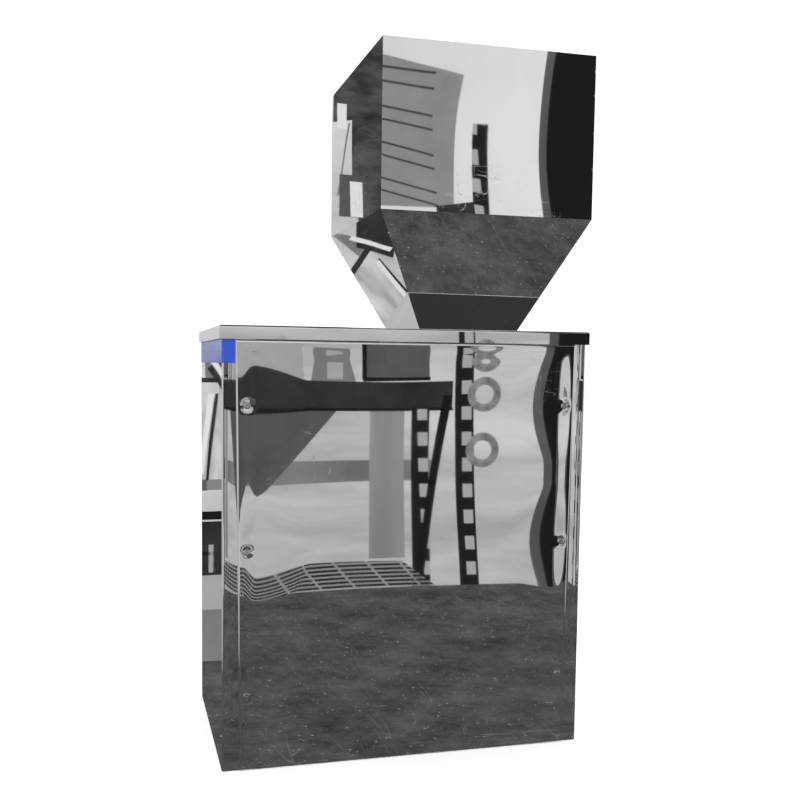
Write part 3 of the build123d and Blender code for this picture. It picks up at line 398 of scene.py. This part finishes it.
def makeRearCover():  # thin tray pulled in round its screws
    size = rearCoverSize
    low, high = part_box("rear_cover")
    width, height = high.x - low.x, high.z - low.z
    deselect()
    bpy.ops.mesh.primitive_grid_add(x_subdivisions=size["cellsAcross"], y_subdivisions=size["cellsUp"],
                                    size=1, location=(0, low.y, (low.z + high.z) / 2), rotation=facingFront)
    cover = added("rearCover")
    cover.scale = (width, height, 1)
    settle(cover)
    taper = size["gapBottom"] - size["gapTop"]
    for vert in cover.data.vertices:  # narrower at the foot
        up = (vert.co.z - low.z) / height
        vert.co.x *= 1 - (1 - up) * taper / (width / 2)
    pickEdges(cover, lambda edge: edge.is_boundary)
    bpy.ops.mesh.extrude_region_move(TRANSFORM_OT_translate={"value": (0, size["proud"], 0)})
    bpy.ops.object.mode_set(mode="OBJECT")

    def onFold(edge):  # on the face's plane, with a rim face beside it
        return (all(abs(vert.co.y - low.y) < 1e-6 for vert in edge.verts)
                and any(abs(face.normal.y) < 0.5 for face in edge.link_faces))

    bevelled(cover, onFold, size["bend"], size["bendSegments"], clamp_overlap=False)
    screws = list(screwPlaces())
    for vert in cover.data.vertices:
        x, y, z = vert.co
        side = width / 2 - (1 - (z - low.z) / height) * taper - abs(x)
        inside = min(side, z - low.z, high.z - z)
        free = max(0.0, min(1.0, (inside - size["edgeFlat"]) / size["edgeStiff"]))
        free = free * free * (3 - 2 * free)
        dish = 0.0
        bowl = 0.0
        for across, up in screws:
            away = math.hypot(x - across, z - up)
            dish += size["dishDepth"] * faded(away, size["dishRadius"])
            bowl += size["bowlDepth"] * faded(away, size["bowlRadius"])
        ripple = (math.sin(x * size["ripplesAcross"] + size["startAcross"])
                  * math.sin(z * size["ripplesUp"] + size["startUp"]))
        vert.co.y += dish + (bowl + size["buckle"] * (1 + ripple)) * free
    skin = cover.modifiers.new("thickness", "SOLIDIFY")
    skin.thickness = size["thickness"]
    skin.offset = -1
    bpy.ops.object.modifier_apply(modifier=skin.name)
    finished(cover, mirrorSteel("coverSteel", 5.0, 0.00035, 0.87), 50)
    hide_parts("rear_cover")


makeRearCover()
print("rear cover made")

weldSize = {
    "radius": 0.0016, "stretch": 1.5, "flat": 0.77, "pinch": 0.12, "pinchPitch": 4200, "segments": 12,
    "rings": 8, "inset": 0.00105, "shoulder": 0.4123, "footX": 0.066, "footY": 0.074,
    "boxPlaces": (0.096, 0.24, 0.47, 0.69), "funnelPlaces": (0.18, 0.45, 0.68),
}


def tackDrop():  # flattened drop with a pinched middle
    deselect()
    bpy.ops.mesh.primitive_uv_sphere_add(segments=weldSize["segments"], ring_count=weldSize["rings"],
                                         radius=weldSize["radius"])
    drop = added("tackDrop")
    drop.scale = (1, 1, weldSize["stretch"])
    settle(drop)
    for vert in drop.data.vertices:
        swirl = 1 + weldSize["pinch"] * math.sin(vert.co.z * weldSize["pinchPitch"])
        vert.co.x *= swirl * weldSize["flat"]
        vert.co.y *= swirl * weldSize["flat"]
    return drop


def makeHopperWelds():  # tack welds down the hopper's corners
    low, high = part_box("hopper")
    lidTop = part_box("top_cover")[1].z
    shoulder = lidTop + (high.z - lidTop) * weldSize["shoulder"]
    centre = Vector(((low.x + high.x) / 2, (low.y + high.y) / 2, 0))
    halfX, halfY = (high.x - low.x) / 2, (high.y - low.y) / 2
    drops = []
    first = tackDrop()
    for signX in (-1, 1):
        for signY in (-1, 1):
            corner = centre + Vector((signX * halfX, signY * halfY, 0))
            foot = centre + Vector((signX * weldSize["footX"], signY * weldSize["footY"], 0))
            inward = Vector((-signX, -signY, 0)) * weldSize["inset"]
            for part in weldSize["boxPlaces"]:
                height = high.z - (high.z - shoulder) * part
                drops.append(copied(first, corner + inward + Vector((0, 0, height))))
            for part in weldSize["funnelPlaces"]:
                height = shoulder + (lidTop - shoulder) * part
                drops.append(copied(first, corner.lerp(foot, part) + inward + Vector((0, 0, height))))
    bpy.data.objects.remove(first)
    finished(joined("hopperWelds", drops), finishes["zinc"], 60)


makeHopperWelds()
print("hopper welds made")

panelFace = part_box("control_front")[1].y
clearance = 0.00002  # keeps a part off the face behind it
frontShare = 0.9  # an edge past this share of a part's depth is on its front
ringShape = {"vertices": 64, "toolDepths": 3, "sharp": 1.2, "bevelSegments": 3}


def middle(node):
    low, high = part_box(node)
    return (low + high) / 2


def makeRing(name, node, size, material):  # turned ring on the panel, round a control
    spot = middle(node)
    back = panelFace + clearance
    centre = (spot.x, back + size["depth"] / 2, spot.z)
    body = cylinder(name, size["outer"], size["depth"], centre, ringShape["vertices"])
    cut(cylinder(name + "Hole", size["inner"], size["depth"] * ringShape["toolDepths"], centre,
                 ringShape["vertices"]), body)

    def frontRim(edge):
        return (len(edge.link_faces) == 2 and edge.calc_face_angle(0) > ringShape["sharp"]
                and beyond(edge, back + size["depth"] * frontShare))

    bevelled(body, frontRim, size["bevel"], ringShape["bevelSegments"])
    finished(body, material)


bezelSize = {"outer": 0.0138, "inner": 0.0114, "depth": 0.0016, "bevel": 0.0006}
for button in ("start_button", "stop_button"):
    makeRing(button + "Bezel", button, bezelSize, finishes["zinc"])

stopDiscSize = {"outer": 0.026, "inner": 0.0086, "depth": 0.0008, "bevel": 0.0003}
yellow = plastic("yellowPlastic", (0.75, 0.5, 0.02), 0.3)
makeRing("stopDisc", "emergency_stop", stopDiscSize, yellow)

scaleSize = {
    "dots": 9, "dotRadius": 0.0011, "dotDepth": 0.0003, "vertices": 20, "lift": 0.0001,
    "circle": 0.0185, "arc": 200,
}


def makeSwitchScale():  # printed dots round the switch
    spot = middle("main_switch")
    dots = []
    for mark in range(scaleSize["dots"]):
        share = mark / (scaleSize["dots"] - 1)
        angle = math.radians(90 + scaleSize["arc"] / 2 - scaleSize["arc"] * share)
        place = (spot.x + scaleSize["circle"] * math.cos(angle), panelFace + scaleSize["lift"],
                 spot.z + scaleSize["circle"] * math.sin(angle))
        dots.append(cylinder("scaleDot", scaleSize["dotRadius"], scaleSize["dotDepth"], place,
                             scaleSize["vertices"]))
    finished(joined("switchScale", dots), finishes["black_plastic"])


makeSwitchScale()

screwSize = {
    "radius": 0.0036, "height": 0.0019, "segments": 32, "crown": 0.0012, "crownSegments": 4,
    "slot": 0.0009, "slotDepth": 0.0008, "slotLength": 1.3, "inset": 0.007,
    "panelShares": (0.03, 0.5, 0.97), "leafInset": 0.0055, "leafThickness": 0.003,
    "leafHeights": (0.169, 0.191, 0.439, 0.461),
}


def panHead():  # round head with a cross slot, facing the working side
    tall = screwSize["height"]
    head = cylinder("panelScrew", screwSize["radius"], tall, (0, tall / 2, 0), screwSize["segments"])
    bevelled(head, lambda edge: beyond(edge, tall * frontShare), screwSize["crown"],
             screwSize["crownSegments"])
    slotBlock = (screwSize["radius"] * screwSize["slotLength"], screwSize["slotDepth"] * 2, screwSize["slot"])
    for turn in (0, math.pi / 2):
        cut(block("slotTool", slotBlock, (0, tall, 0), (0, turn, 0)), head)
    return head


def makePanelScrews():  # down both edges of the panel, and on the hinge leaves
    low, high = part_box("control_front")
    first = panHead()
    heads = []
    for x in (low.x + screwSize["inset"], high.x - screwSize["inset"]):
        for share in screwSize["panelShares"]:
            heads.append(copied(first, Vector((x, high.y, low.z + (high.z - low.z) * share))))
    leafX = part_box("door_hinges")[1].x - screwSize["leafInset"]
    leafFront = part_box("right_side")[1].y + screwSize["leafThickness"]
    for height in screwSize["leafHeights"]:
        heads.append(copied(first, Vector((leafX, leafFront, height))))
    bpy.data.objects.remove(first)
    finished(joined("panelScrews", heads), finishes["zinc"])


makePanelScrews()

glassSize = {"frame": 0.0086, "depth": 0.0006, "bevel": 0.0002, "bevelSegments": 2, "rim": 0.0005}
digitSize = {
    "height": 0.019, "width": 0.0105, "pitch": 0.019, "stroke": 0.0022, "depth": 0.0002, "lean": 0.12,
    "lit": ("abcdef", "abcdefg", "abcdefg"),
}
segmentPlaces = {  # across, up, and whether the bar stands upright
    "a": (0, 1, 0), "b": (0.5, 0.5, 1), "c": (0.5, -0.5, 1), "d": (0, -1, 0), "e": (-0.5, -0.5, 1),
    "f": (-0.5, 0.5, 1), "g": (0, 0, 0),
}


def makeDisplayGlass():
    low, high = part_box("control_display")
    place = middle("control_display")
    rims = 2 * glassSize["frame"]
    size = (high.x - low.x - rims, glassSize["depth"], high.z - low.z - rims)
    glass = block("displayGlass", size, (place.x, high.y - glassSize["depth"], place.z))
    bevelled(glass, lambda edge: beyond(edge, high.y - glassSize["rim"]), glassSize["bevel"],
             glassSize["bevelSegments"])
    finished(glass, plastic("displayGlass", (0.012, 0.014, 0.02), 0.06, 0.0, 1.0))


def makeDisplayDigits():  # seven-bar digits behind the glass
    place = middle("control_display")
    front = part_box("control_display")[1].y - digitSize["depth"]
    stroke = digitSize["stroke"]
    bars = []
    for index, lit in enumerate(digitSize["lit"]):
        for segment in lit:
            across, up, upright = segmentPlaces[segment]
            height = up * digitSize["height"] / 2
            size = ((stroke, digitSize["depth"], digitSize["height"] / 2 - stroke) if upright
                    else (digitSize["width"] - stroke, digitSize["depth"], stroke))
            x = (place.x - (index - 1) * digitSize["pitch"] - across * digitSize["width"]
                 - height * digitSize["lean"])
            bars.append(block("litBar", size, (x, front, place.z + height)))
    digits = Finish("litDigits", Emission_Strength=1.4)
    glow = digits.noise(60.0, 2.0)
    digits.put("Emission Color", digits.blend(glow, (1.0, 0.09, 0.03), (0.8, 0.05, 0.02)))
    digits.put("Base Color", digits.blend(glow, (0.4, 0.02, 0.01), (0.3, 0.02, 0.01)))
    finished(joined("displayDigits", bars), digits.material)


makeDisplayGlass()
makeDisplayDigits()
print("front details made")


def flatTone(name, **fixed):
    return Finish(name, "ShaderNodeEmission", Strength=1.0, **fixed)


def cardTone(name, low, high=None, scale=2.0, stretch=(1, 1, 1)):  # flat, or clouded between two tones
    tone = flatTone(name, Color=(low, low, low, 1))
    if high is not None:
        cloud = tone.noise(scale, 5.0, 0.6, tone.coords(stretch))
        tone.put("Color", tone.blend(tone.ramp(cloud, [(0.32, 0), (0.68, 1)]), (low,) * 3, (high,) * 3))
    return tone


def tableTone():  # dark worn bench top
    tone = flatTone("darkTable")
    cloud = tone.noise(8.0, 12.0, 0.8)
    marks = tone.scratches(tone.coords((1, 9, 1), (0, 0, 0.5)), 3.0, 0.0022)
    crossed = tone.scratches(tone.coords((9, 1, 1), (0, 0, -0.3)), 2.6, 0.002)
    dust = tone.noise(130.0, 2.0, 0.6) > 0.69
    sparse = tone.noise(3.0, 2.0) > 0.52
    light = (marks + crossed) * sparse * 0.25 + dust * 0.8
    base = tone.blend(tone.ramp(cloud, [(0.34, 0), (0.7, 1)]),
                      (0.034, 0.034, 0.035), (0.15, 0.15, 0.151))
    tone.put("Color", tone.blend(light, base, (0.4, 0.4, 0.4)))
    return tone


def padTone():  # quilted pad: grey with rows of dark seams
    tone = flatTone("quiltedPad")
    across, _, up = tone.axes()
    row = (up + across * 0.12).maths("PINGPONG", 0.078)
    seam = (row > 0.046) - (row > 0.055)
    inside = 1 - (across > 1.0)
    base = tone.blend(tone.noise(5.0, 5.0, 0.6), (0.2, 0.2, 0.2), (0.36, 0.36, 0.36))
    tone.put("Color", tone.blend(seam * inside, base, (0.05, 0.05, 0.05)))
    return tone


def grilleTone():  # wire shelf: light bars over dark
    tone = flatTone("wireGrille")
    across, _, up = tone.axes()
    wires = up.maths("PINGPONG", 0.0085) > 0.0048
    bars = (across + up * 0.9).maths("PINGPONG", 0.07) > 0.064
    tone.put("Color", tone.blend(wires.maths("MAXIMUM", bars), (0.02, 0.02, 0.02), (0.3, 0.3, 0.3)))
    return tone


def uprightTone():  # punched rack post
    tone = flatTone("punchedPost")
    across, _, up = tone.axes()
    row = up.maths("PINGPONG", 0.056) > 0.027
    column = (across + up * 0.04 - 0.022).maths("PINGPONG", 0.048) > 0.026
    tone.put("Color", tone.blend(row * column, (0.016, 0.016, 0.017), (0.42, 0.42, 0.42)))
    return tone


def mirroredOnly(sheet):  # a stage piece that shows only in polished metal
    sheet.visible_camera = False
    sheet.visible_diffuse = False
    sheet.visible_shadow = False
    sheet.visible_transmission = False
    sheet.visible_volume_scatter = False


def card(name, tone, corners):
    deselect()
    bpy.ops.mesh.primitive_plane_add(size=1)
    sheet = added(name)
    for vert, place in zip(sheet.data.vertices, (corners[0], corners[1], corners[3], corners[2])):
        vert.co = place
    sheet.data.materials.append(tone.material)
    mirroredOnly(sheet)


def square(x, z):
    return [(x[0], z[0]), (x[1], z[0]), (x[1], z[1]), (x[0], z[1])]


tableSize = {"x": (-0.6, 0.85), "y": (-1.03, 0.24), "z": 0.0005}
card("tableCard", tableTone(), [(x, y, tableSize["z"]) for x, y in square(tableSize["x"], tableSize["y"])])
black = cardTone("blackFlag", 0.013)
charcoal = cardTone("charcoalFlag", 0.024, 0.05, 3.0)
dim = cardTone("dimFlag", 0.07, 0.13, 2.0)
grey = cardTone("greyFlag", 0.16, 0.26, 2.0)
paleGrey = cardTone("paleFlag", 0.34, 0.46, 2.0)
white = cardTone("whiteFlag", 0.8)
plaid = cardTone("curtainFlag", 0.015, 0.12, 18.0, (0.35, 1, 1))
wallGrey = cardTone("wallTone", 0.36, 0.7, 1.8, (0.35, 1, 2.2))
upperGrey = cardTone("upperTone", 0.72, 0.86, 1.2)
hungGrey = cardTone("hungTone", 0.24, 0.36, 2.0, (3, 1, 0.3))
frontGrey = cardTone("frontTone", 0.5, 0.75, 1.1, (0.5, 1, 1.6))
funnelGrey = cardTone("funnelTone", 0.25, 0.75, 14.0, (1, 1, 0.3))
wallCards = {  # name: tone, step towards the machine, outline in X and Z
    "backWall": (wallGrey, -0.10, square((-2.5, 4.5), (-0.6, 0.9))),
    "upperWall": (upperGrey, -0.10, square((-2.5, 4.5), (0.9, 2.9))),
    "wallShade": (dim, -0.05, [(-1.2, -0.22), (0.15, -0.16), (0.56, 0.3), (-1.2, 0.3)]),
    "wallShadeLow": (grey, -0.06, [(-1.2, -0.06), (1.0, -0.02), (1.0, 0.07), (-1.2, 0.07)]),
    "hungSheet": (hungGrey, -0.04, square((0.70, 0.86), (-0.36, 0.3))),
    "shelfBeam": (charcoal, 0.0, square((-1.2, 1.06), (0.30, 0.42))),
    "beamUnderside": (black, 0.01, square((-1.2, 1.06), (0.292, 0.305))),
    "paleDrum": (paleGrey, -0.02, [(-0.6, 0.42), (0.40, 0.42), (0.40, 0.53), (0.34, 0.60), (-0.6, 0.62)]),
    "shelfBox": (grey, -0.01, [(0.43, 0.42), (0.63, 0.42), (0.60, 0.52), (0.45, 0.52)]),
    "boxLabel": (paleGrey, 0.0, square((0.50, 0.57), (0.43, 0.50))),
    "shelfTray": (dim, -0.01, [(0.66, 0.42), (0.96, 0.43), (0.95, 0.57), (0.68, 0.58)]),
    "trayRim": (black, 0.0, square((0.66, 0.96), (0.425, 0.44))),
    "trayEdge": (black, 0.0, square((0.655, 0.675), (0.43, 0.58))),
    "rackPostA": (uprightTone(), 0.02, square((0.875, 0.955), (-0.49, 0.30))),
    "rackBrace": (black, 0.03, [(0.89, -0.40), (0.925, -0.40), (1.05, 0.36), (1.01, 0.36)]),
    "rackPostB": (uprightTone(), 0.03, [(1.09, -0.52), (1.18, -0.52), (1.13, 0.66), (1.05, 0.66)]),
    "wireShelf": (grilleTone(), 0.02, [(-0.3, -0.46), (0.98, -0.47), (0.83, -0.36), (-0.3, -0.345)]),
    "doorCurtain": (black, 0.0, square((1.53, 3.2), (-0.7, 2.5))),
    "curtainEdge": (dim, 0.0, square((1.49, 1.53), (-0.7, 2.5))),
    "quiltedPad": (padTone(), -0.02, [(0.5, 1.10), (1.07, 1.18), (1.12, 1.69), (0.5, 1.84)]),
    "upperPost": (uprightTone(), 0.02, [(1.14, 1.08), (1.22, 1.08), (1.235, 1.52), (1.165, 1.52)]),
    "upperBeam": (charcoal, 0.01, [(0.98, 1.08), (1.16, 1.08), (1.16, 1.22), (0.98, 1.17)]),
}
frontCards = {  # seen in the working front
    "frontWall": (frontGrey, 0.0, square((-3.2, 3.2), (-0.6, 2.6))),
    "frontPost": (charcoal, 0.02, square((-2.3, -2.1), (-0.6, 2.6))),
    "frontShelf": (dim, 0.02, square((-3.2, -2.3), (0.9, 1.0))),
    "frontDoor": (grey, 0.02, square((0.7, 1.5), (-0.6, 1.7))),
}
sideCards = {  # seen in the left face and the hopper's left side
    "sideShadeTop": (grey, -0.02, [(-0.5, 0.44), (-0.36, 0.44), (-0.355, 0.554), (-0.40, 0.48)]),
    "sideShelf": (charcoal, 0.0, square((-0.9, -0.24), (0.394, 0.442))),
    "sidePost": (grey, 0.0, square((-0.9, -0.24), (0.125, 0.374))),
    "sidePostEdge": (dim, 0.01, square((-0.36, -0.24), (0.125, 0.374))),
    "sideGap": (black, 0.0, square((-0.9, -0.24), (0.04, 0.064))),
    "sideCrates": (charcoal, 0.0, square((-0.9, -0.24), (-0.12, 0.035))),
    "crateLineA": (black, 0.01, square((-0.385, -0.24), (-0.06, -0.05))),
    "crateLineB": (paleGrey, 0.01, square((-0.38, -0.365), (-0.11, -0.03))),
    "sideBox": (paleGrey, 0.0, square((-0.9, -0.24), (-0.22, -0.12))),
    "sideBin": (grey, 0.0, square((-0.9, -0.24), (-0.37, -0.22))),
    "sideClutter": (plaid, 0.0, square((-0.9, -0.24), (-0.46, -0.37))),
    "curtainDark": (plaid, 0.0, square((-0.62, -0.40), (0.98, 1.60))),
    "curtainTop": (plaid, 0.0, [(-0.45, 1.19), (-0.33, 1.17), (-0.33, 1.60), (-0.45, 1.60)]),
    "curtainFoot": (plaid, 0.0, [(-0.62, 0.80), (-0.435, 0.80), (-0.40, 0.98), (-0.62, 0.98)]),
    "lightLine": (grey, 0.01, [(-0.345, 0.96), (-0.338, 0.96), (-0.385, 1.17), (-0.392, 1.17)]),
    "whiteBlob": (white, 0.02, square((-0.375, -0.34), (1.15, 1.22))),
    "noticeFrame": (dim, 0.02, square((-0.435, -0.345), (0.90, 1.02))),
    "notice": (white, 0.03, square((-0.425, -0.385), (0.90, 1.0))),
    "funnelPale": (funnelGrey, 0.04, square((-0.48, -0.22), (0.16, 0.43))),
    "funnelDark": (charcoal, 0.05, [(-0.55, 0.42), (-0.42, 0.36), (-0.36, 0.47), (-0.50, 0.56)]),
    "funnelStreak": (white, 0.06, [(-0.44, 0.38), (-0.425, 0.38), (-0.36, 0.50), (-0.375, 0.50)]),
    "funnelLine": (black, 0.06, [(-0.36, 0.16), (-0.352, 0.16), (-0.375, 0.40), (-0.383, 0.40)]),
    "funnelBar": (white, 0.07, [(-0.345, 0.18), (-0.33, 0.18), (-0.36, 0.40), (-0.375, 0.40)]),
}
wallDepth = {"rear": -3.0, "front": 4.2, "side": 1.5}
walls = (("rear", 1, wallCards), ("front", -1, frontCards), ("side", -1, sideCards))
for wall, towards, cards in walls:  # towards: which way along Y the machine stands
    for name, (tone, step, outline) in cards.items():
        card(name, tone, [(x, wallDepth[wall] + towards * step, z) for x, z in outline])

rollSize = {
    "radius": 0.058, "tube": 0.017, "segments": 32, "tubeSegments": 8, "x": 1.18, "step": 0.06,
    "heights": (0.53, 0.36, 0.12), "turn": 0.5,
}
rollTone = cardTone("rollTone", 0.12, 0.36, 14.0)
for height in rollSize["heights"]:  # tape rolls hung on the rack
    deselect()
    bpy.ops.mesh.primitive_torus_add(major_radius=rollSize["radius"], minor_radius=rollSize["tube"],
                                     major_segments=rollSize["segments"],
                                     minor_segments=rollSize["tubeSegments"],
                                     location=(rollSize["x"], wallDepth["rear"] + rollSize["step"], height),
                                     rotation=(math.pi / 2, rollSize["turn"], 0))
    roll = added("tapeRoll")
    roll.data.materials.append(rollTone.material)
    mirroredOnly(roll)

floorSize = {"cells": 8, "width": 60}
deselect()
bpy.ops.mesh.primitive_grid_add(x_subdivisions=floorSize["cells"], y_subdivisions=floorSize["cells"],
                                size=floorSize["width"])
floor = added("floor")
floorFinish = Finish("paleFloor", Roughness=0.7)
floorCloud = floorFinish.noise(1.5, 4.0)
floorFinish.put("Base Color", floorFinish.blend(floorCloud, (0.9, 0.9, 0.9), (0.86, 0.86, 0.86)))
floor.data.materials.append(floorFinish.material)
floor.visible_glossy = False

world = bpy.data.worlds.new("studio")
bpy.context.scene.world = world
sky = Finish("studio", "ShaderNodeMixShader", world)  # plain for the camera, banded in the polished metal
skyUp = sky.node("ShaderNodeMapRange", None, {"Value": sky.axes("Generated")[2], "From Min": -1})
skyBands = sky.ramp(skyUp, [(0.0, 0.3), (0.35, 0.42), (0.47, 0.6), (0.52, 0.7), (0.62, 0.85), (0.72, 0.75),
                            (0.78, 0.05), (1.0, 0.02)])
sky.put(0, sky.node("ShaderNodeLightPath", output="Is Glossy Ray"))
sky.put(1, sky.node("ShaderNodeBackground", None, {"Color": (1, 1, 1, 1), "Strength": 1.25}))
sky.put(2, sky.node("ShaderNodeBackground", None, {"Color": skyBands}))

aim = Vector((0, 0, 0.4))
lights = {  # place, power, width
    "keyLight": ((-1.6, -2.2, 2.6), 90, 2.2),
    "frontLight": ((1.8, 2.4, 2.4), 80, 2.2),
}
for name, (place, power, width) in lights.items():
    lamp = bpy.data.lights.new(name, "AREA")
    lamp.energy = power
    lamp.size = width
    holder = bpy.data.objects.new(name, lamp)
    bpy.context.collection.objects.link(holder)
    holder.location = place
    holder.rotation_euler = (aim - Vector(place)).to_track_quat("-Z", "Y").to_euler()
    holder.visible_glossy = False
print("stage made")

cameraSetup = {
    "place": (-0.3490, -1.2824, 0.4889), "yaw": -14.553, "pitch": -4.475, "roll": -0.682,
    "lens": 44.108, "sensor": 36.0, "shiftX": 0.0378, "shiftY": 0.0497,
}
cameraData = bpy.data.cameras.new("camera")
camera = bpy.data.objects.new("camera", cameraData)
bpy.context.collection.objects.link(camera)
turn = (Matrix.Rotation(math.radians(cameraSetup["yaw"]), 4, "Z")
        @ Matrix.Rotation(math.radians(cameraSetup["pitch"]), 4, "X")
        @ Matrix.Rotation(math.radians(cameraSetup["roll"]), 4, "Y")
        @ Matrix.Rotation(math.radians(90), 4, "X"))
camera.matrix_world = Matrix.Translation(cameraSetup["place"]) @ turn
cameraData.sensor_width = cameraSetup["sensor"]
cameraData.lens = cameraSetup["lens"]
cameraData.shift_x = cameraSetup["shiftX"]
cameraData.shift_y = cameraSetup["shiftY"]
bpy.context.scene.camera = camera
bpy.context.scene.view_settings.view_transform = "Standard"
